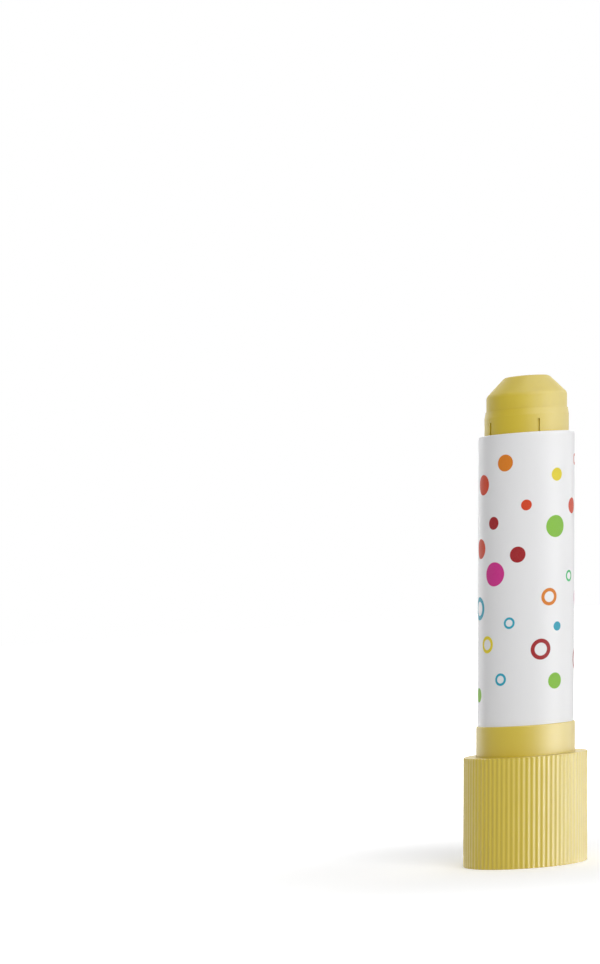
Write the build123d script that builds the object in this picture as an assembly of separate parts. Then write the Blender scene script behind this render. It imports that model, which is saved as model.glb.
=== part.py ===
from build123d import *
import os
from math import cos, degrees, pi, radians, sin, sqrt

# Twist crayon: turning the ribbed knob drives a lead screw, which carries a gel crayon out of its barrel.
# Millimetres. The origin is the middle of the base, +Z runs up the axis and the front faces -Y.

# Crayon
CRAYON_DIAMETER = 14.7
TIP_FLAT = 8.0             # diameter of the flat at the very end
TIP_HEIGHT = 3.4           # height of the sloping end
TIP_SHOWN = 6.2            # how far the tip stands out of the nose at rest
TIP_ROUNDING = 1.2
SHOULDER_ROUNDING = 0.6    # where the slope meets the side
SLIDE_CLEARANCE = 0.05     # radial, crayon and cup in their bores
RETRACT_TRAVEL = 7.0       # from rest down to fully drawn in

# Nose ring
NOSE_WALL = 0.28           # where it shows
NOSE_HEIGHT = 4.4          # above the barrel's mouth
NOSE_INSERT = 6.0          # inside the barrel's mouth
INSERT_STEP = 0.05         # radial, how much thicker the hidden part is
NOSE_FIT = 0.02            # radial, nose in the barrel's mouth
NOSE_RIM = 0.1             # wall left at the rim, where the nose thins out
NOSE_TAPER = 1.2           # height of the thinning
SLIT_WIDTH = 0.45
NOSE_BAND = 2.0            # uncut height above the slits
SLIT_ANGLES = (-58.0, 16.5, 122.0, 196.5)   # from the front, towards +X
BEAD_DEPTH = 0.25          # snap bead round the nose's foot
BEAD_HEIGHT = 0.9
BEAD_RISE = 1.2            # from the nose's foot up to the bead

# Barrel and label
BARREL_LENGTH = 52.85      # between collar and nose
MOUTH_WALL = 1.02          # wall round the nose
BARREL_ROUNDING = 0.25
FOOT_WALL = 0.4            # wall behind the keyways at the barrel's foot
FOOT_GAP = 0.1             # under the foot, above the collar's floor
LABEL_THICKNESS = 0.1
LABEL_MARGIN = 0.5         # bare barrel above and below the label
LABEL_SEAM = 0.25          # gap between the label's two ends

# Swivel collar
COLLAR_HEIGHT = 5.55       # the part that shows
COLLAR_WALL = 0.68
COLLAR_FLOOR = 2.3
COLLAR_FIT = 0.02          # radial, barrel's foot in the collar
COLLAR_ROUNDING = 0.2
SPIGOT_DIAMETER = 14.5
SPIGOT_BACKING = 1.15      # wall behind the drag ring's groove
SPIGOT_LENGTH = 5.5

# Drag ring
RING_SECTION = 0.9
RING_SQUEEZE_GAP = 0.03    # left between ring and knob
RING_SIDE_ROOM = 0.2       # each side of the ring in its groove

# Knob and end plug
KNOB_HEIGHT = 20.0
KNOB_WALL = 1.38           # behind the grooves
KNOB_SPACE = 1.47          # between hub and skirt
KNOB_RECESS = 0.5          # depth of the recess that hides the collar's foot
WEB_THICKNESS = 1.6
HUB_WALL = 1.0
HUB_FLOOR = 1.6
BOSS_WALL = 1.6            # round the spindle's foot
RIB_PITCH = 0.91
RIB_DEPTH = 0.12
KNOB_ROUNDING = 0.2
FIN_COUNT = 6
FIN_THICKNESS = 1.0
PLUG_THICKNESS = 1.5
PLUG_RECESS = 0.4
PLUG_CHAMFER = 0.2
DIMPLE_DIAMETER = 2.6
DIMPLE_DEPTH = 0.3

# Spindle
SCREW_CREST = 5.0          # outer diameter of the thread
SCREW_ROOT = 3.6
SCREW_LEAD = 8.0           # crayon travel for one turn of the knob
SCREW_STARTS = 2
CREST_ANGLE = 60.0         # of one start, seen along the axis
FLANK_ANGLE = 22.0
SCREW_CLEARANCE = 0.25     # across the axis, screw in its nut
SCREW_SPARE = 1.0          # thread above the nut at full reach
FLANGE_STEP = 1.5          # radial, flange beyond the neck
FLANGE_THICKNESS = 1.2
NECK_STEP = 0.35           # radial, neck beyond the foot's corners
FOOT_FLATS = 4.6           # across the hexagon foot
FOOT_LENGTH = 5.0

# Crayon cup
CUP_FLOOR = 4.0            # the nut's length, and the keys' height
CUP_DEPTH = 5.0
CUP_WALL = 0.8
GRIP_DEPTH = 0.35          # bead that locks the crayon's root into its cup
GRIP_HEIGHT = 1.2
GRIP_RISE = 2.0
KEY_COUNT = 4
KEY_WIDTH = 1.6
KEY_DEPTH = 0.5            # of a keyway in the barrel
KEY_CLEARANCE = 0.1

# Running gaps
TURN_CLEARANCE = 0.08      # radial, collar in recess, spigot in hub and neck in collar
AXIAL_PLAY = 0.15          # along the axis, knob and spindle against the collar
STOP_GAP = 0.3             # along the axis, cup at either end of its travel
BORE_GAP = 0.3             # radial, screw inside the crayon
OVERSHOOT = 1.0            # how far cutting shapes run past what they cut

# Radii
crayon_r = CRAYON_DIAMETER / 2
tip_r = TIP_FLAT / 2
bore_r = crayon_r + SLIDE_CLEARANCE
nose_r = bore_r + NOSE_WALL
insert_r = nose_r + INSERT_STEP
mouth_r = insert_r + NOSE_FIT
barrel_r = nose_r + MOUTH_WALL
label_r = barrel_r + LABEL_THICKNESS
keyway_r = bore_r + KEY_DEPTH
foot_r = keyway_r + FOOT_WALL
socket_r = foot_r + COLLAR_FIT
collar_r = socket_r + COLLAR_WALL
recess_r = collar_r + TURN_CLEARANCE
root_r = crayon_r - CUP_WALL
spigot_r = SPIGOT_DIAMETER / 2
hub_bore_r = spigot_r + TURN_CLEARANCE
ring_r = hub_bore_r - RING_SQUEEZE_GAP - RING_SECTION / 2
ring_groove_r = ring_r - RING_SECTION / 2
spigot_bore_r = ring_groove_r - SPIGOT_BACKING
hub_r = hub_bore_r + HUB_WALL
skirt_bore_r = hub_r + KNOB_SPACE
groove_r = skirt_bore_r + KNOB_WALL
crest_r = groove_r + RIB_DEPTH
screw_r = SCREW_CREST / 2
screw_root_r = SCREW_ROOT / 2
crayon_bore_r = screw_r + BORE_GAP
foot_corner_r = FOOT_FLATS / sqrt(3)
boss_r = foot_corner_r + BOSS_WALL
neck_r = foot_corner_r + NECK_STEP
neck_hole_r = neck_r + TURN_CLEARANCE
flange_r = neck_r + FLANGE_STEP

# Heights
web_low = KNOB_HEIGHT - WEB_THICKNESS
recess_floor = KNOB_HEIGHT - KNOB_RECESS
collar_low = recess_floor + AXIAL_PLAY
collar_top = KNOB_HEIGHT + COLLAR_HEIGHT
floor_top = collar_low + COLLAR_FLOOR
spigot_low = collar_low - SPIGOT_LENGTH
ring_height = (spigot_low + collar_low) / 2
hub_floor_top = spigot_low - STOP_GAP
hub_floor_low = hub_floor_top - HUB_FLOOR
foot_low = hub_floor_top - FOOT_LENGTH
boss_low = foot_low - HUB_FLOOR
plug_top = PLUG_RECESS + PLUG_THICKNESS
barrel_top = collar_top + BARREL_LENGTH
barrel_low = floor_top + FOOT_GAP
nose_seat = barrel_top - NOSE_INSERT
nose_top = barrel_top + NOSE_HEIGHT
tip_top = nose_top + TIP_SHOWN
shoulder = tip_top - TIP_HEIGHT
flange_low = floor_top + AXIAL_PLAY
flange_top = flange_low + FLANGE_THICKNESS
cup_low = flange_top + STOP_GAP + RETRACT_TRAVEL
cup_floor_top = cup_low + CUP_FLOOR
cup_top = cup_floor_top + CUP_DEPTH
keyway_top = nose_seat - STOP_GAP
advance_travel = keyway_top - STOP_GAP - cup_floor_top
screw_top = cup_floor_top + advance_travel + SCREW_SPARE
crayon_bore_top = screw_top + RETRACT_TRAVEL + STOP_GAP


def polar(radius, angle, height=0.0):
    """A point at an angle in degrees from the front (-Y), turning towards +X."""
    return Vector(radius * sin(radians(angle)), -radius * cos(radians(angle)), height)


def turned(*outline):
    """A solid of revolution about Z from (radius, height) corners."""
    profile = make_face(Plane.XZ * Polyline(*outline, close=True))
    return revolve(profile, Axis.Z)


def disc(radius, low, high):
    return Pos(0, 0, low) * Cylinder(radius, high - low, align=(Align.CENTER, Align.CENTER, Align.MIN))


def rims(shape, radius, height):
    """The circular edges of one radius at one height."""
    near = 1e-4
    circles = shape.edges().filter_by(GeomType.CIRCLE)
    return circles.filter_by(
        lambda edge: abs(edge.radius - radius) < near and abs(edge.arc_center.Z - height) < near
    )


def spoke(angle, inner, outer, width, low, high):
    """A block that runs outwards at an angle from the front."""
    block = Box(width, outer - inner, high - low, align=(Align.CENTER, Align.MAX, Align.MIN))
    return Rot(0, 0, angle) * Pos(0, -inner, low) * block


def spread(count):
    """Equal angles round the axis, the first one half a step from the front."""
    return [360 / count * (index + 0.5) for index in range(count)]


def screw_section(extra):
    """The thread seen along the axis, grown by a clearance."""
    crest = screw_r + extra
    root = screw_root_r + extra
    crest_half = CREST_ANGLE / 2 + degrees(extra / crest)
    root_half = crest_half + FLANK_ANGLE
    step = 360 / SCREW_STARTS
    edges = []
    for start in range(SCREW_STARTS):
        middle = start * step
        rise = middle - crest_half
        fall = middle + crest_half
        valley = middle + step / 2
        following = middle + step - root_half
        edges += [
            ThreePointArc(polar(crest, rise), polar(crest, middle), polar(crest, fall)),
            Line(polar(crest, fall), polar(root, middle + root_half)),
            ThreePointArc(polar(root, middle + root_half), polar(root, valley), polar(root, following)),
            Line(polar(root, following), polar(crest, following + FLANK_ANGLE)),
        ]
    return make_face(edges)


def screw_column(extra, low, high):
    """A left-hand thread between two heights; its turn depends on the height alone."""
    turn = 360 / SCREW_LEAD
    section = Rot(0, 0, turn * low) * screw_section(extra)
    column = Solid.extrude_linear_with_rotation(
        section.face(), (0, 0, 0), (0, 0, high - low), turn * (high - low)
    )
    return mirror(Pos(0, 0, low) * column, about=Plane.YZ)


def make_crayon():
    grip_low = cup_floor_top + GRIP_RISE
    body = turned(
        (0, crayon_bore_top),
        (crayon_bore_r, crayon_bore_top),
        (crayon_bore_r, cup_floor_top),
        (root_r, cup_floor_top),
        (root_r, grip_low),
        (root_r - GRIP_DEPTH, grip_low + GRIP_HEIGHT / 2),
        (root_r, grip_low + GRIP_HEIGHT),
        (root_r, cup_top),
        (crayon_r, cup_top),
        (crayon_r, shoulder),
        (tip_r, tip_top),
        (0, tip_top),
    )
    body = fillet(rims(body, crayon_r, shoulder), SHOULDER_ROUNDING)
    return fillet(rims(body, tip_r, tip_top), TIP_ROUNDING)


def make_crayon_cup():
    grip_low = cup_floor_top + GRIP_RISE
    cup = turned(
        (0, cup_low),
        (crayon_r, cup_low),
        (crayon_r, cup_top),
        (root_r, cup_top),
        (root_r, grip_low + GRIP_HEIGHT),
        (root_r - GRIP_DEPTH, grip_low + GRIP_HEIGHT / 2),
        (root_r, grip_low),
        (root_r, cup_floor_top),
        (0, cup_floor_top),
    )
    key_r = keyway_r - KEY_CLEARANCE
    for angle in spread(KEY_COUNT):
        cup += spoke(angle, root_r, key_r, KEY_WIDTH, cup_low, cup_floor_top)
    return cup - screw_column(SCREW_CLEARANCE, cup_low - OVERSHOOT, cup_floor_top + OVERSHOOT)


def make_spindle():
    shank = turned(
        (0, hub_floor_top),
        (neck_r, hub_floor_top),
        (neck_r, flange_low),
        (flange_r, flange_low),
        (flange_r, flange_top),
        (0, flange_top),
    )
    foot = extrude(Pos(0, 0, foot_low) * RegularPolygon(foot_corner_r, 6), FOOT_LENGTH)
    return shank + foot + screw_column(0, flange_top, screw_top)


def make_nose_ring():
    bead_low = nose_seat + BEAD_RISE
    ring = turned(
        (bore_r, nose_seat),
        (insert_r, nose_seat),
        (insert_r, bead_low),
        (insert_r + BEAD_DEPTH, bead_low + BEAD_HEIGHT / 2),
        (insert_r + BEAD_DEPTH, bead_low + BEAD_HEIGHT),
        (insert_r, bead_low + BEAD_HEIGHT),
        (insert_r, barrel_top),
        (nose_r, barrel_top),
        (nose_r, nose_top - NOSE_TAPER),
        (bore_r + NOSE_RIM, nose_top),
        (bore_r, nose_top),
    )
    round_at = nose_top - NOSE_BAND - SLIT_WIDTH / 2
    inner = bore_r - OVERSHOOT
    outer = insert_r + OVERSHOOT
    for angle in SLIT_ANGLES:
        ring -= spoke(angle, inner, outer, SLIT_WIDTH, nose_seat - OVERSHOOT, round_at)
        end = Pos(0, -nose_r, round_at) * Rot(90, 0, 0) * Cylinder(SLIT_WIDTH / 2, 2 * OVERSHOOT)
        ring -= Rot(0, 0, angle) * end
    return ring


def make_barrel():
    bead_low = nose_seat + BEAD_RISE - NOSE_FIT
    bead_top = nose_seat + BEAD_RISE + BEAD_HEIGHT + NOSE_FIT
    tube = turned(
        (bore_r, barrel_low),
        (foot_r, barrel_low),
        (foot_r, collar_top),
        (barrel_r, collar_top),
        (barrel_r, barrel_top),
        (mouth_r, barrel_top),
        (mouth_r, bead_top),
        (mouth_r + BEAD_DEPTH, bead_top),
        (mouth_r + BEAD_DEPTH, bead_low),
        (mouth_r, bead_low),
        (mouth_r, nose_seat),
        (bore_r, nose_seat),
    )
    tube = fillet(rims(tube, barrel_r, barrel_top), BARREL_ROUNDING)
    for angle in spread(KEY_COUNT):
        width = KEY_WIDTH + 2 * KEY_CLEARANCE
        tube -= spoke(angle, bore_r - OVERSHOOT, keyway_r, width, barrel_low - OVERSHOOT, keyway_top)
    return tube


def make_label():
    low = collar_top + LABEL_MARGIN
    high = barrel_top - LABEL_MARGIN
    film = turned((barrel_r, low), (label_r, low), (label_r, high), (barrel_r, high))
    return film - spoke(180, barrel_r - OVERSHOOT, label_r + OVERSHOOT, LABEL_SEAM, low, high)


def make_swivel_collar():
    half_groove = RING_SECTION / 2 + RING_SIDE_ROOM
    collar = turned(
        (spigot_bore_r, spigot_low),
        (spigot_r, spigot_low),
        (spigot_r, ring_height - half_groove),
        (ring_groove_r, ring_height - half_groove),
        (ring_groove_r, ring_height + half_groove),
        (spigot_r, ring_height + half_groove),
        (spigot_r, collar_low),
        (collar_r, collar_low),
        (collar_r, collar_top),
        (socket_r, collar_top),
        (socket_r, floor_top),
        (neck_hole_r, floor_top),
        (neck_hole_r, collar_low),
        (spigot_bore_r, collar_low),
    )
    return fillet(rims(collar, collar_r, collar_top) + rims(collar, collar_r, collar_low), COLLAR_ROUNDING)


def make_drag_ring():
    return Pos(0, 0, ring_height) * Torus(ring_r, RING_SECTION / 2)


def ribbed_prism():
    """The knob's outline seen from above, a shallow wave of ribs and grooves, drawn out to its height."""
    count = round(2 * pi * crest_r / RIB_PITCH)
    step = 360 / count
    middle_r = (crest_r + groove_r) / 2
    edges = []
    for rib in spread(count):
        rise = polar(middle_r, rib - step / 4)
        fall = polar(middle_r, rib + step / 4)
        next_rise = polar(middle_r, rib + step * 3 / 4)
        edges += [
            ThreePointArc(rise, polar(crest_r, rib), fall),
            ThreePointArc(fall, polar(groove_r, rib + step / 2), next_rise),
        ]
    return extrude(make_face(edges), KNOB_HEIGHT)


def make_twist_knob():
    knob = turned(
        (0, boss_low),
        (boss_r, boss_low),
        (boss_r, hub_floor_low),
        (hub_r, hub_floor_low),
        (hub_r, web_low),
        (skirt_bore_r, web_low),
        (skirt_bore_r, 0),
        (crest_r, 0),
        (crest_r, KNOB_HEIGHT),
        (recess_r, KNOB_HEIGHT),
        (recess_r, recess_floor),
        (hub_bore_r, recess_floor),
        (hub_bore_r, hub_floor_top),
        (0, hub_floor_top),
    )
    knob = fillet(rims(knob, crest_r, KNOB_HEIGHT) + rims(knob, crest_r, 0), KNOB_ROUNDING)
    knob = knob & ribbed_prism()
    bite = FIN_THICKNESS / 4
    for angle in spread(FIN_COUNT):
        knob += spoke(angle, hub_r - bite, skirt_bore_r + bite, FIN_THICKNESS, plug_top, web_low + bite)
    return knob - extrude(Pos(0, 0, foot_low) * RegularPolygon(foot_corner_r, 6), FOOT_LENGTH)


def make_end_plug():
    plug = disc(skirt_bore_r, PLUG_RECESS, plug_top)
    plug = chamfer(rims(plug, skirt_bore_r, PLUG_RECESS), PLUG_CHAMFER)
    return plug - disc(DIMPLE_DIAMETER / 2, PLUG_RECESS, PLUG_RECESS + DIMPLE_DEPTH)


PIECES = {
    "crayon": make_crayon,
    "crayon_cup": make_crayon_cup,
    "spindle": make_spindle,
    "nose_ring": make_nose_ring,
    "barrel": make_barrel,
    "label": make_label,
    "swivel_collar": make_swivel_collar,
    "drag_ring": make_drag_ring,
    "twist_knob": make_twist_knob,
    "end_plug": make_end_plug,
}

os.makedirs("parts", exist_ok=True)
for name, make in PIECES.items():
    export_step(make(), f"parts/{name}.step")

turn_for = 360 / SCREW_LEAD
print(f"height {tip_top:.2f}, travel {-RETRACT_TRAVEL:.2f} to {advance_travel:.2f}")
print(f"knob turn {-RETRACT_TRAVEL * turn_for:.1f} to {advance_travel * turn_for:.1f} degrees")
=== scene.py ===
from math import atan, cos, hypot, pi, radians, sin, tan

import bmesh
import bpy
from mathutils import Matrix, Vector, noise


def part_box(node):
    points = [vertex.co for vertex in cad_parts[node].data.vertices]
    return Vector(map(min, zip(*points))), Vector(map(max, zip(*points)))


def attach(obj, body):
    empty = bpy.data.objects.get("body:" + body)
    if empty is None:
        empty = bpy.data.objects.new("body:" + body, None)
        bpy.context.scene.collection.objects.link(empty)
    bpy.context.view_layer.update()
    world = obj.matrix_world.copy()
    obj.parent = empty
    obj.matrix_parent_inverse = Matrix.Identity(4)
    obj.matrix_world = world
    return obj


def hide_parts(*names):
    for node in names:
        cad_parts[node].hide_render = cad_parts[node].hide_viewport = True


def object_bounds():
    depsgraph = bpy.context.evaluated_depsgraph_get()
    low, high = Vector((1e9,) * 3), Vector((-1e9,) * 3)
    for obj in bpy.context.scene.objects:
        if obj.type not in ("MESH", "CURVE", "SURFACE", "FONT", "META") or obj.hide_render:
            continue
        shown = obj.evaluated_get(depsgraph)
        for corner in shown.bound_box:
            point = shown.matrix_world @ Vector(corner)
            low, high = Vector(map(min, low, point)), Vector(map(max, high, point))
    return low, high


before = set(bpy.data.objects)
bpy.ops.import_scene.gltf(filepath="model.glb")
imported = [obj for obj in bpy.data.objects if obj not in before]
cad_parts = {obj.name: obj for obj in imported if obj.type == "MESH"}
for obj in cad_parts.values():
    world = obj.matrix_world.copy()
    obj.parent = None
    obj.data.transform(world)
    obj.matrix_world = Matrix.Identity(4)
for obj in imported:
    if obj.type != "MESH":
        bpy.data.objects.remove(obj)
cad_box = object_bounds()

# Twist crayon on a white floor: gel wax, moulded plastic and a printed film
MM = 0.001                 # the scene is in metres, sizes and patterns are in millimetres

# Camera, from the photograph's frame of 600 by 964 pixels
FRAME_WIDTH = 600
FRAME_HEIGHT = 964
SENSOR_MM = 36.0
PIXEL_SIZE = 0.1833 * MM   # on the crayon's axis
AXIS_PIXEL_X = 524.5       # where the axis meets the floor in the frame
BASE_PIXEL_Y = 862.3
CAMERA_DISTANCE = 0.568    # metres
CAMERA_HEIGHT = 0.0526
FRAME_SLANT = radians(4.0)   # by which the photograph's level lines climb to the right
FRAME_LEAN = radians(0.2)    # by which its upright lines lean to the right

# Room and floor
ROOM_LIGHT = 0.41
FLOOR_HALF = 4.0           # metres
FLOOR_WHITE = (0.9, 0.9, 0.9)
FLOOR_GLOW = 0.28          # added where the floor is seen, so that it is white outside the shadow
FADE_START = 30.0          # from the axis, between which the shadow fades out
FADE_END = 140.0

# Colours, linear
WHITE = (1.0, 1.0, 1.0)
YELLOW = (0.57, 0.427, 0.006)
YELLOW_DEEP = (0.525, 0.381, 0.0)
YELLOW_PALE = (0.615, 0.473, 0.016)
BARREL_WHITE = (0.80, 0.80, 0.81)
BARREL_SHADE = (0.76, 0.765, 0.78)
FILM_WHITE = (0.795, 0.795, 0.80)
FILM_SHADE = (0.765, 0.765, 0.775)
# Grey of the painted shade and dust along the film's lapped end
LAP_SHADE_AND_DUST_GREY = (0.54, 0.54, 0.55)
NATURAL_PALE = (0.80, 0.79, 0.74)
NATURAL_DEEP = (0.70, 0.68, 0.61)
RUBBER_BLACK = (0.022, 0.022, 0.023)
RUBBER_GREY = (0.05, 0.05, 0.052)
INKS = (
    (0.77, 0.63, 0.02),    # yellow
    (0.34, 0.012, 0.016),  # dark red
    (0.62, 0.05, 0.008),   # vermilion
    (0.23, 0.51, 0.04),    # green
    (0.045, 0.47, 0.15),   # sea green
    (0.025, 0.35, 0.48),   # blue
    (0.68, 0.20, 0.01),    # orange
    (0.60, 0.03, 0.25),    # magenta
)

# Gel stick
TIP_FLAT_RADIUS = 4.0
TIP_HEIGHT = 3.4           # of the slope
TIP_ROUNDING = 1.2
SHOULDER_ROUNDING = 1.2
SINK_RADIUS = 2.6          # hollow left in the end as the gel set
SINK_DEPTH = 0.12
SINK_FLOOR_ROUNDING = 0.8
SINK_EDGE_ROUNDING = 0.5
ROOT_STEP = 0.8            # radial, where the stick enters its cup
SCREW_ROOM = 2.8           # radius of the bore round the screw
SCREW_ROOM_TOP = 8.9       # solid gel above the bore
TIP_UNEVEN = 0.07          # how far the cast tip departs from its plain shape
UNEVEN_SIZE = 2.2          # of the noise that it follows
STICK_SIDES = 160
ARC_STEPS = 8

# Knob
RIB_DEPTH = 0.12

# Label film
FILM_THICKNESS = 0.045
FILM_GLUE = 0.006          # under the film
FILM_LAP = 3.0             # of the film's end over its start, at the back
LAP_RISE = 0.8             # over which the film climbs on to its start
LAP_SHADE_AND_DUST_REACH = 0.2             # how far the painted shade and dust reach from the film's end
FILM_STEPS = 260
VARNISH = 0.55             # clear coat on the bare film
INK_VARNISH = 0.05         # clear coat on the ink

# Print on the label: dots and rings in the inks, on a slanted grid
PRINT_CELL = 7.4           # between neighbours
PRINT_SLANT = radians(35.0)
PRINT_SCATTER = 0.45
DOT_SMALL = 0.11           # radii, as shares of a cell
DOT_LARGE = 0.31
RING_SHARE = 0.35          # of the dots, drawn as rings
RING_WIDTH = 0.38          # as a share of the ring's radius
PRINT_EDGE = 0.06          # over which ink turns to film
PRINT_MARGIN = 4.5         # bare film at the label's ends and beside its lap
INK_HEIGHT = 0.004

SHARP_ANGLE = radians(32.0)   # edges that turn by more stay sharp in the shading


def box_mm(node):
    """Lowest and highest corner of a CAD node, in millimetres."""
    return [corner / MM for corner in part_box(node)]


class Value:
    """A number or colour that varies over a surface; arithmetic on it adds Math nodes."""

    def __init__(self, tree, socket):
        self.tree = tree
        self.socket = socket

    def __add__(self, other):
        return self.tree.math("ADD", self, other)

    def __sub__(self, other):
        return self.tree.math("SUBTRACT", self, other)

    def __rsub__(self, other):
        return self.tree.math("SUBTRACT", other, self)

    def __mul__(self, other):
        return self.tree.math("MULTIPLY", self, other)

    def __truediv__(self, other):
        return self.tree.math("DIVIDE", self, other)

    def __gt__(self, other):
        return self.tree.math("GREATER_THAN", self, other)

    def __lt__(self, other):
        return self.tree.math("LESS_THAN", self, other)

    def __abs__(self):
        return self.tree.math("ABSOLUTE", self)

    __radd__ = __add__
    __rmul__ = __mul__

    def larger(self, other):
        return self.tree.math("MAXIMUM", self, other)

    def ramp(self, low, high):
        """0 at low and below, 1 at high and above, smooth between."""
        settings = {"interpolation_type": "SMOOTHSTEP"}
        return self.tree.node("MapRange", settings, {"Value": self, "From Min": low, "From Max": high})


class Tree:
    """A node tree that is being wired."""

    def __init__(self, owner):
        owner.use_nodes = True
        self.nodes = owner.node_tree.nodes
        self.links = owner.node_tree.links

    def node(self, kind, settings=None, sockets=None, output=0):
        """Adds a node: settings first, then the values or links of its sockets; returns one output."""
        made = self.nodes.new("ShaderNode" + kind)
        for name, value in (settings or {}).items():
            if name == "stops":
                self.set_stops(made.color_ramp, value)
            else:
                setattr(made, name, value)
        for name, value in (sockets or {}).items():
            self.feed(made.inputs[name], value)
        return Value(self, made.outputs[output])

    def feed(self, socket, value):
        """Links a value to a socket, or sets a plain number, vector or colour on it."""
        if isinstance(value, Value):
            self.links.new(value.socket, socket)
        elif socket.type == "RGBA":
            socket.default_value = (*value, 1.0)
        else:
            socket.default_value = value

    def set_stops(self, ramp, colours):
        """Equal steps of plain colours; a new ramp has its first and last stop already."""
        ramp.interpolation = "CONSTANT"
        for index in range(2, len(colours)):
            ramp.elements.new(index / len(colours))
        for index, colour in enumerate(colours):
            ramp.elements[index].position = index / len(colours)
            ramp.elements[index].color = (*colour, 1.0)

    def math(self, operation, *terms):
        return self.node("Math", {"operation": operation}, dict(enumerate(terms)))

    def outputs_of(self, value, *names):
        """Named outputs of the node that a value comes from."""
        return [Value(self, value.socket.node.outputs[name]) for name in names]

    def parts_of(self, vector):
        """The three numbers of a vector or colour."""
        return self.outputs_of(self.node("SeparateXYZ", {}, {0: vector}), "X", "Y", "Z")

    def blend(self, share, first, second):
        """From the first colour to the second; a Mix node has its colours in sockets 6 and 7."""
        return self.node("Mix", {"data_type": "RGBA"}, {0: share, 6: first, 7: second}, output=2)

    def seen_rays(self):
        """1 for rays from the camera or by reflection or through glass, 0 for rays that carry light."""
        names = ("Is Camera Ray", "Is Glossy Ray", "Is Transmission Ray")
        camera, glossy, through = self.outputs_of(self.node("LightPath"), *names)
        return camera.larger(glossy).larger(through)


class Finish(Tree):
    """A material with its shader's constants, and the place on the object in millimetres."""

    def __init__(self, name, constants):
        self.material = bpy.data.materials.new(name)
        super().__init__(self.material)
        self.shader = self.nodes["Principled BSDF"]
        self.put(constants)
        place = self.node("TexCoord", output="Object")
        self.place = self.node("VectorMath", {"operation": "SCALE"}, {0: place, "Scale": 1 / MM})
        self.x, self.y, self.z = self.parts_of(self.place)

    def put(self, sockets):
        """Values or links of the shader's own sockets."""
        for name, value in sockets.items():
            self.feed(self.shader.inputs[name], value)

    def radius(self):
        return self.math("SQRT", self.x * self.x + self.y * self.y)

    def angle(self):
        """Radians from the front, towards the right."""
        return self.math("ARCTAN2", self.x, 0 - self.y)

    def grain(self, size, tall=1.0, detail=2.0):
        """Noise from 0 to 1 with features of a size in millimetres, drawn out along the axis."""
        scale = (1 / size, 1 / size, 1 / (size * tall))
        point = self.node("VectorMath", {"operation": "MULTIPLY"}, {0: self.place, 1: scale})
        return self.node("TexNoise", {}, {"Vector": point, "Scale": 1.0, "Detail": detail})

    def surface(self, colour, roughness, height):
        """Colour and roughness over the surface, and its fine relief in millimetres."""
        relief = self.node("Bump", {}, {"Height": height, "Distance": MM, "Strength": 1.0})
        self.put({"Base Color": colour, "Roughness": roughness, "Normal": relief})
        return self.material


def gel_wax():
    """Cast gel stick: cloudy pigment, faint streaks along its length and a softly dimpled skin."""
    constants = {
        "Specular IOR Level": 0.82,
        "Subsurface Weight": 0.12,
        "Subsurface Radius": (1.0, 0.7, 0.25),
        "Subsurface Scale": 0.5 * MM,
    }
    wax = Finish("gel_wax", constants)
    clouds = wax.grain(size=2.6, detail=3.0)
    streaks = wax.grain(size=0.7, tall=14.0)
    dimples = wax.grain(size=0.35)
    colour = wax.blend(streaks, YELLOW_DEEP, YELLOW)
    colour = wax.blend(clouds, colour, YELLOW_PALE)
    relief = 0.006 * dimples + 0.012 * clouds
    return wax.surface(colour, roughness=0.52 + 0.14 * streaks, height=relief)


def moulded_yellow(name, roughness, specular):
    """Injection-moulded plastic: flow tone, slight sink and a fine spark-eroded grain."""
    plastic = Finish(name, {"Specular IOR Level": specular})
    flow = plastic.grain(size=7.0, tall=2.5, detail=1.0)
    tone = plastic.grain(size=1.4, tall=3.0)
    texture = plastic.grain(size=0.14, detail=1.0)
    colour = plastic.blend(flow, YELLOW_DEEP, YELLOW_PALE)
    colour = plastic.blend(0.4 + 0.4 * tone, colour, YELLOW)
    varied = roughness + 0.08 * (tone - 0.5)
    return plastic.surface(colour, roughness=varied, height=0.0012 * texture + 0.004 * flow)


def ribbed_yellow():
    """The knob's plastic: rib crests a little smoother, painted paler as a painted highlight, and grooves
    painted deeper as painted shade.
    """
    crest = box_mm("twist_knob")[1].x
    plastic = Finish("knob_plastic", {"Specular IOR Level": 1.0})
    on_rib = plastic.radius().ramp(crest - RIB_DEPTH, crest)
    tone = plastic.grain(size=4.0, tall=2.0, detail=1.0)
    texture = plastic.grain(size=0.14, detail=1.0)
    # Painted shade in the grooves and painted highlight on the crests, by the rib mask
    colour = plastic.blend(on_rib, YELLOW_DEEP, YELLOW_PALE)
    colour = plastic.blend(0.3 + 0.4 * tone, colour, YELLOW)
    roughness = 0.44 - 0.08 * on_rib + 0.06 * (tone - 0.5)
    return plastic.surface(colour, roughness, height=0.0012 * texture)


def white_moulding():
    """The barrel's white plastic, a little shaded where the melt ran thin."""
    plastic = Finish("white_moulding", {"Specular IOR Level": 0.5})
    flow = plastic.grain(size=6.0, tall=4.0)
    texture = plastic.grain(size=0.2, detail=1.0)
    colour = plastic.blend(flow, BARREL_SHADE, BARREL_WHITE)
    return plastic.surface(colour, roughness=0.30 + 0.10 * flow, height=0.0015 * texture)


def natural_plastic():
    """Uncoloured plastic of the hidden screw and cup, milky, with flow marks."""
    plastic = Finish("natural_plastic", {"Specular IOR Level": 0.4})
    flow = plastic.grain(size=3.0, tall=3.0)
    texture = plastic.grain(size=0.18, detail=1.0)
    colour = plastic.blend(flow, NATURAL_DEEP, NATURAL_PALE)
    return plastic.surface(colour, roughness=0.42 + 0.12 * flow, height=0.002 * texture)


def black_rubber():
    """Matt rubber with a dusty bloom."""
    rubber = Finish("black_rubber", {"Specular IOR Level": 0.35})
    bloom = rubber.grain(size=0.8, detail=3.0)
    texture = rubber.grain(size=0.1)
    colour = rubber.blend(bloom, RUBBER_BLACK, RUBBER_GREY)
    return rubber.surface(colour, roughness=0.62 + 0.15 * bloom, height=0.003 * texture)


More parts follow.
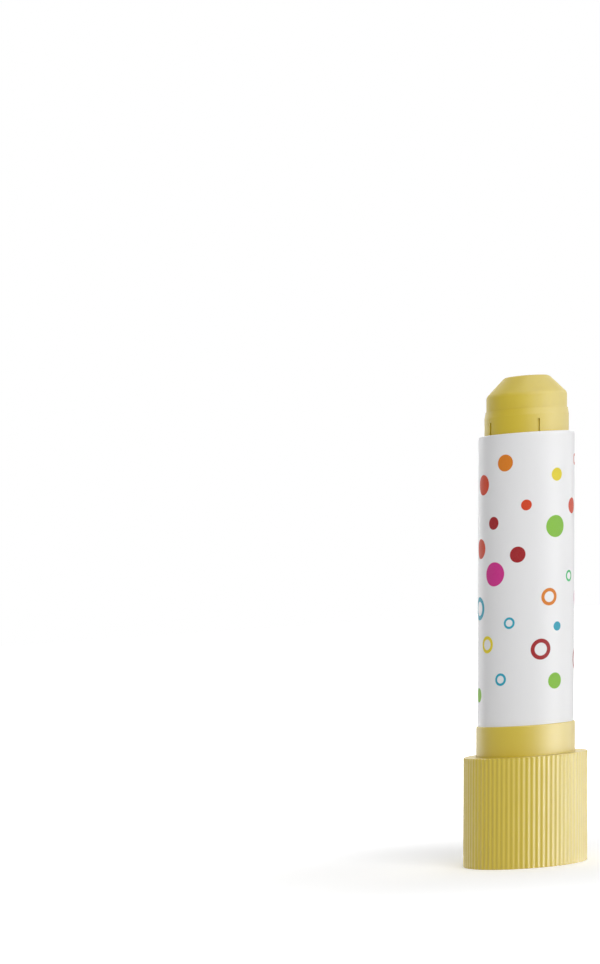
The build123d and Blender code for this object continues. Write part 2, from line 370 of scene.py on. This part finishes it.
def printed_dots(film):
    """Where the label has ink, and the ink's colour."""
    low, high = box_mm("label")
    around = film.angle() * high.x
    slant_x, slant_y = cos(PRINT_SLANT), sin(PRINT_SLANT)
    cell_x = (around * slant_x + film.z * slant_y) / PRINT_CELL
    cell_y = (film.z * slant_x - around * slant_y) / PRINT_CELL
    grid = film.node("CombineXYZ", {}, {0: cell_x, 1: cell_y})
    cells = film.node(
        "TexVoronoi",
        {"voronoi_dimensions": "2D", "feature": "F1"},
        {"Vector": grid, "Scale": 1.0, "Randomness": PRINT_SCATTER},
    )
    distance, draws, middle = film.outputs_of(cells, "Distance", "Color", "Position")
    size_draw, style_draw, ink_draw = film.parts_of(draws)
    middle_x, middle_y = film.parts_of(middle)[:2]
    middle_height = (middle_x * slant_y + middle_y * slant_x) * PRINT_CELL
    middle_around = abs(middle_x * slant_x - middle_y * slant_y) * PRINT_CELL
    inside = (middle_height > low.z + PRINT_MARGIN) * (middle_height < high.z - PRINT_MARGIN)
    inside = inside * (middle_around < pi * high.x - PRINT_MARGIN)
    radius = DOT_SMALL + (DOT_LARGE - DOT_SMALL) * size_draw
    edge = PRINT_EDGE / PRINT_CELL
    disc = (radius - distance).ramp(0.0, edge)
    hole = (radius * (1 - RING_WIDTH) - distance).ramp(0.0, edge)
    ink = inside * (disc - hole * (style_draw < RING_SHARE))
    return ink, film.node("ValToRGB", {"stops": INKS}, {0: ink_draw})


def lap_shade_and_dust(film):
    """Painted shade along the film's end, where it lies lapped at the back, which also stands for dust."""
    barrel = box_mm("barrel")[1].x
    from_end = abs(film.angle() + (pi - FILM_LAP / barrel / 2)) * barrel
    return 1 - from_end.ramp(0.0, LAP_SHADE_AND_DUST_REACH)


def label_film():
    """White film with its print: clear varnish on the film, matt ink that lies a few microns proud."""
    film = Finish("label_film", {"Specular IOR Level": 0.08, "Coat IOR": 1.48, "Coat Roughness": 0.28})
    ink, ink_colour = printed_dots(film)
    tone = film.grain(size=9.0, tall=3.0)
    ripple = film.grain(size=1.6, tall=8.0)
    speckle = film.grain(size=0.25)
    ground = film.blend(tone, FILM_SHADE, FILM_WHITE)
    # Painted shade and dust: a darker line along the film's lapped end
    ground = film.blend(lap_shade_and_dust(film), ground, LAP_SHADE_AND_DUST_GREY)
    printed = film.blend(0.04 * speckle, ink_colour, ground)
    colour = film.blend(ink, ground, printed)
    film.put({"Coat Weight": VARNISH - (VARNISH - INK_VARNISH) * ink})
    return film.surface(colour, roughness=0.45 + 0.1 * ripple, height=INK_HEIGHT * ink + 0.002 * ripple)


def add_object(name, data):
    made = bpy.data.objects.new(name, data)
    bpy.context.scene.collection.objects.link(made)
    return made


def add_piece(name, shape, material, body, node):
    """Turns a shape in millimetres into a piece that stands for a CAD node."""
    bmesh.ops.scale(shape, vec=(MM, MM, MM), verts=shape.verts)
    bmesh.ops.recalc_face_normals(shape, faces=shape.faces)
    mesh = bpy.data.meshes.new(name)
    shape.to_mesh(mesh)
    shape.free()
    mesh.shade_smooth()
    mesh.set_sharp_from_angle(angle=SHARP_ANGLE)
    mesh.materials.append(material)
    piece = add_object(name, mesh)
    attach(piece, body)
    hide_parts(node)


def rounded(corners):
    """An outline's points from (radius, height, rounding) corners, each with an arc of its rounding."""
    places = [Vector(corner[:2]) for corner in corners]
    points = [places[0]]
    for index in range(1, len(corners) - 1):
        rounding = corners[index][2]
        if rounding == 0:
            points.append(places[index])
            continue
        back = (places[index - 1] - places[index]).normalized()
        ahead = (places[index + 1] - places[index]).normalized()
        half = back.angle(ahead) / 2
        reach = rounding / tan(half)
        centre = places[index] + (back + ahead).normalized() * rounding / sin(half)
        first = (places[index] + back * reach - centre).normalized()
        last = (places[index] + ahead * reach - centre).normalized()
        points += [centre + rounding * first.slerp(last, step / ARC_STEPS) for step in range(ARC_STEPS + 1)]
    return points + [places[-1]]


def lathe(shape, outline, sides):
    """Turns an outline about the axis; points on the axis become single corners."""
    rows = []
    for radius, height in outline:
        count = sides if radius > 0 else 1
        turns = [2 * pi * side / sides for side in range(count)]
        rows.append([shape.verts.new((radius * sin(a), -radius * cos(a), height)) for a in turns])
    for row, following in zip(rows, rows[1:]):
        for side in range(sides):
            beside = (side + 1) % sides
            corners = [row[side % len(row)], row[beside % len(row)]]
            corners += [following[beside % len(following)], following[side % len(following)]]
            shape.faces.new(list(dict.fromkeys(corners)))


def shrink_tip(shape, start):
    """Draws the stick in a little unevenly above a height, as a cast end does when it sets."""
    for corner in shape.verts:
        on_axis = hypot(corner.co.x, corner.co.y) == 0
        if corner.co.z < start or on_axis:
            continue
        rise = min(1.0, (corner.co.z - start) / TIP_HEIGHT)
        wander = (noise.noise(corner.co / UNEVEN_SIZE) - 1) / 2
        corner.co *= 1 + rise * TIP_UNEVEN * wander / corner.co.length


def make_stick():
    """The gel stick: a cast tip with a sunk end, a root in its cup and a bore for the screw."""
    low, high = box_mm("crayon")
    cup_top = box_mm("crayon_cup")[1].z
    shoulder = high.z - TIP_HEIGHT
    bore_top = high.z - SCREW_ROOM_TOP
    root = high.x - ROOT_STEP
    outline = rounded([
        (0, high.z - SINK_DEPTH, 0),
        (SINK_RADIUS / 2, high.z - SINK_DEPTH, SINK_FLOOR_ROUNDING),
        (SINK_RADIUS, high.z, SINK_EDGE_ROUNDING),
        (TIP_FLAT_RADIUS, high.z, TIP_ROUNDING),
        (high.x, shoulder, SHOULDER_ROUNDING),
        (high.x, cup_top, 0),
        (root, cup_top, 0),
        (root, low.z, 0),
        (SCREW_ROOM, low.z, 0),
        (SCREW_ROOM, bore_top, 0),
        (0, bore_top, 0),
    ])
    shape = bmesh.new()
    lathe(shape, outline, STICK_SIDES)
    shrink_tip(shape, shoulder - SHOULDER_ROUNDING)
    add_piece("gel_stick", shape, gel_wax(), "crayon", "crayon")


def eased(share):
    """A share held between 0 and 1, with a soft start and end."""
    share = min(1.0, max(0.0, share))
    return share * share * (3 - 2 * share)


def make_film():
    """The printed film, wound once round the barrel with its end lapped over its start at the back."""
    low, high = box_mm("label")
    barrel = box_mm("barrel")[1].x
    lap = FILM_LAP / barrel
    rise = LAP_RISE / barrel
    start = pi - lap / 2
    shape = bmesh.new()
    columns = []
    for step in range(FILM_STEPS + 1):
        turn = step / FILM_STEPS * (2 * pi + lap)
        climb = eased((turn - 2 * pi + rise) / rise)
        near = barrel + FILM_GLUE + (FILM_THICKNESS + FILM_GLUE) * climb
        far = near + FILM_THICKNESS
        side, front = sin(start + turn), -cos(start + turn)
        section = [(near, low.z), (far, low.z), (far, high.z), (near, high.z)]
        columns.append([shape.verts.new((r * side, r * front, z)) for r, z in section])
    for column, following in zip(columns, columns[1:]):
        for edge in range(4):
            beside = (edge + 1) % 4
            shape.faces.new([column[edge], column[beside], following[beside], following[edge]])
    shape.faces.new(columns[0])
    shape.faces.new(columns[-1])
    add_piece("printed_film", shape, label_film(), "barrel", "label")


def dress(material, *nodes):
    """Gives CAD nodes their finish."""
    for name in nodes:
        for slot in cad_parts[name].material_slots:
            slot.material = material


def place_camera():
    """Level camera in front, turned so that the crayon stands right of the frame's middle."""
    camera = add_object("camera", bpy.data.cameras.new("camera"))
    focal_pixels = CAMERA_DISTANCE / PIXEL_SIZE
    horizon_pixel_y = BASE_PIXEL_Y - CAMERA_HEIGHT / PIXEL_SIZE
    camera.data.sensor_width = SENSOR_MM
    camera.data.lens = focal_pixels * SENSOR_MM / FRAME_HEIGHT
    camera.data.shift_y = (horizon_pixel_y - FRAME_HEIGHT / 2) / FRAME_HEIGHT
    turn = atan((AXIS_PIXEL_X - FRAME_WIDTH / 2) / focal_pixels)
    camera.location = (0.0, -CAMERA_DISTANCE, CAMERA_HEIGHT)
    camera.rotation_euler = (pi / 2, 0.0, turn)
    slant = Matrix.Identity(4)
    slant[2][0] = -tan(FRAME_SLANT)
    slant[0][2] = -tan(FRAME_LEAN)
    camera.parent = add_object("camera_stand", None)
    camera.matrix_parent_inverse = slant
    bpy.context.scene.camera = camera


def place_lamp(name, angle, distance, height, size, radiance):
    """A soft box at an angle from the front, towards the right, aimed at the crayon's middle."""
    lamp = bpy.data.lights.new(name, "AREA")
    lamp.shape = "RECTANGLE"
    lamp.size, lamp.size_y = size
    lamp.energy = radiance * pi * lamp.size * lamp.size_y
    box = add_object(name, lamp)
    box.location = (distance * sin(radians(angle)), -distance * cos(radians(angle)), height)
    middle = (cad_box[0] + cad_box[1]) / 2
    box.rotation_euler = (middle - box.location).to_track_quat("-Z", "Y").to_euler()
    box.visible_camera = False
    return box


def light_room():
    """Room light that looks white, soft boxes in front and behind, and cards for the sheen."""
    world = bpy.data.worlds.new("room")
    bpy.context.scene.world = world
    room = Tree(world)
    plain = room.node("Background", {}, {"Color": WHITE, "Strength": ROOM_LIGHT})
    seen = room.node("Background", {}, {"Color": WHITE, "Strength": 1.0})
    mixed = room.node("MixShader", {}, {0: room.seen_rays(), 1: plain, 2: seen})
    room.feed(room.nodes["World Output"].inputs["Surface"], mixed)
    place_lamp("key", angle=23, distance=0.8, height=0.5, size=(0.5, 0.6), radiance=4.3)
    place_lamp("back", angle=180, distance=0.8, height=0.5, size=(1.6, 0.7), radiance=1.0)
    cards = [
        place_lamp("strip", angle=72, distance=0.5, height=0.06, size=(0.34, 0.9), radiance=2.9),
        place_lamp("side_card", angle=85, distance=0.6, height=0.06, size=(1.6, 1.2), radiance=2.3),
        place_lamp("top_card", angle=70, distance=0.25, height=0.7, size=(0.8, 0.8), radiance=2.5),
        place_lamp("rim_card", angle=-140, distance=0.5, height=0.06, size=(0.35, 0.9), radiance=1.2),
    ]
    # The cards give white sheen alone and no light to the colour under it
    for card in cards:
        card.visible_diffuse = False
        card.data.cycles.use_multiple_importance_sampling = False


def lay_floor():
    """White sweep that keeps the shadow near the crayon and turns plain white further off."""
    shape = bmesh.new()
    bmesh.ops.create_grid(shape, x_segments=1, y_segments=1, size=FLOOR_HALF)
    mesh = bpy.data.meshes.new("floor")
    shape.to_mesh(mesh)
    shape.free()
    floor = add_object("floor", mesh)
    # The cards reach below the floor, which lets their light through and isn't seen in the gloss
    floor.visible_glossy = False
    floor.visible_shadow = False
    constants = {
        "Base Color": FLOOR_WHITE,
        "Roughness": 0.9,
        "Specular IOR Level": 0.0,
        "Emission Strength": 1.0,
    }
    paper = Finish("floor_paper", constants)
    glow = FLOOR_GLOW + (1 - FLOOR_GLOW) * paper.radius().ramp(FADE_START, FADE_END)
    paper.put({"Emission Color": glow * paper.seen_rays()})
    mesh.materials.append(paper.material)


make_stick()
make_film()
dress(moulded_yellow("nose_plastic", roughness=0.5, specular=0.74), "nose_ring")
dress(moulded_yellow("collar_plastic", roughness=0.44, specular=1.0), "swivel_collar")
dress(moulded_yellow("plug_plastic", roughness=0.34, specular=0.7), "end_plug")
dress(ribbed_yellow(), "twist_knob")
dress(white_moulding(), "barrel")
dress(natural_plastic(), "spindle", "crayon_cup")
dress(black_rubber(), "drag_ring")

place_camera()
light_room()
lay_floor()
bpy.context.scene.view_settings.view_transform = "Standard"
